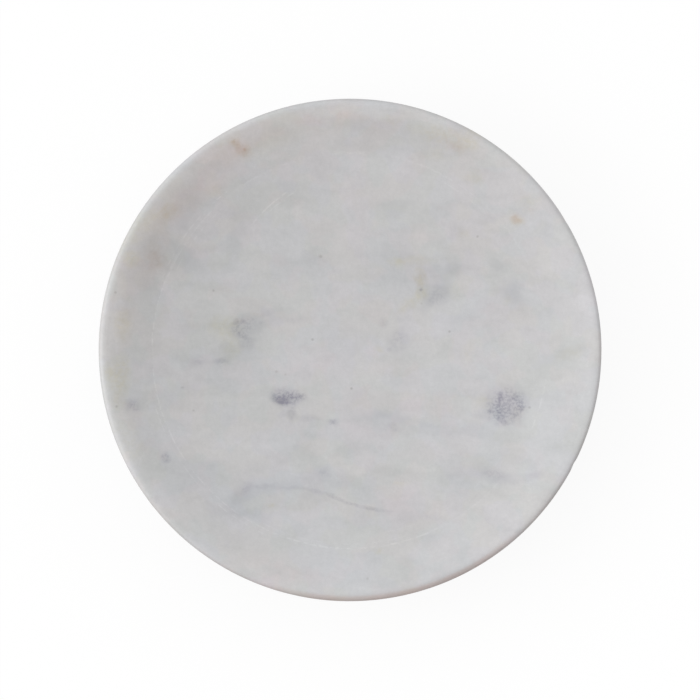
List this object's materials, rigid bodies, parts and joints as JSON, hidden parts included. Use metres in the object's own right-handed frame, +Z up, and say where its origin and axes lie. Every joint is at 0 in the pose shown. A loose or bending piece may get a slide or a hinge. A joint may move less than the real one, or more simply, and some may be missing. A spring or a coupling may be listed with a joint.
{
  "type": "soap dish",
  "caption": "Round marble soap dish: a turned disc of light stone with a shallow bowl for a bar of soap, standing on soft clear pads.",
  "frame": {"origin": "centre of the dish, on the surface that its pads stand on", "axes": "+Z up along the axis the stone is turned about, +X to the right and +Y to the top of the straight-down view"},
  "size_m": [0.12, 0.12, 0.021],
  "materials": {
    "marble": "honed",
    "clear_silicone": "satin",
    "clear_adhesive": "satin"
  },
  "bodies": {
    "root": {"marble_dish": "marble", "foot_pad_1": "clear_silicone", "foot_pad_2": "clear_silicone", "foot_pad_3": "clear_silicone", "foot_pad_4": "clear_silicone", "pad_adhesive_1": "clear_adhesive", "pad_adhesive_2": "clear_adhesive", "pad_adhesive_3": "clear_adhesive", "pad_adhesive_4": "clear_adhesive"}
  },
  "joints": []
}
